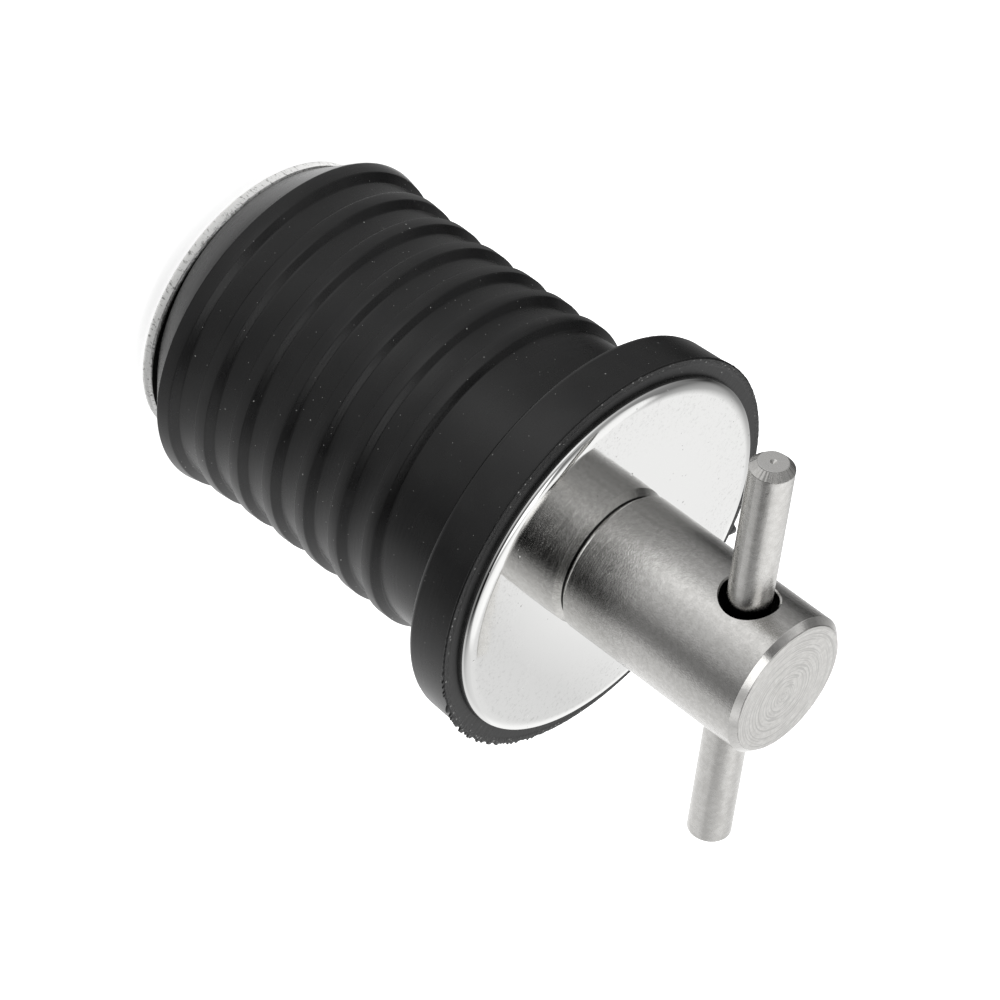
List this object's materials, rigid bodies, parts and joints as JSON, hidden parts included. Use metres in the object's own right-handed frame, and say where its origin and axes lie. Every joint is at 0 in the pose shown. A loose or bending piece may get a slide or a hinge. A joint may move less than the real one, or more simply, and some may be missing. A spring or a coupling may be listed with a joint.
{
  "type": "boat drain plug",
  "caption": "Expanding drain plug: a ribbed rubber sleeve with a flange, squeezed between an end disc and a polished washer by turning a round barrel with a cross bar.",
  "frame": {"origin": "centre of the end disc's outer face, on which the plug stands", "axes": "+Z along the plug's axis from the end disc to the handle, +X along the cross bar, +Y across both"},
  "size_m": [0.0356, 0.0318, 0.0524],
  "materials": {
    "rubber": "satin black moulded rubber",
    "polished_steel": "polished stainless steel",
    "stamped_steel": "stamped and tumbled stainless steel",
    "screw_steel": "plain rolled stainless steel",
    "turned_steel": "finely turned stainless steel",
    "bar_steel": "dull drawn stainless steel"
  },
  "bodies": {
    "sleeve": {"rubber_plug": "rubber", "front_washer": "polished_steel"},
    "handle": {"handle_barrel": "turned_steel", "t_bar": "bar_steel"},
    "drawbolt": {"end_disc": "stamped_steel", "threaded_stud": "screw_steel"}
  },
  "joints": [
    {"name": "handle_turn", "type": "hinge", "parent": "sleeve", "child": "handle", "pos_m": [0, 0, 0.0359], "axis": [0, 0, -1], "range_deg": [0, 1080]},
    {"name": "plate_draw", "type": "slide", "parent": "sleeve", "child": "drawbolt", "axis": [0, 0, 1], "range_m": [0, 0.003], "deforming": ["rubber_plug"]}
  ],
  "couplings": [
    {"joint": "plate_draw", "follows": "handle_turn", "m_per_rad": 0.000159}
  ]
}
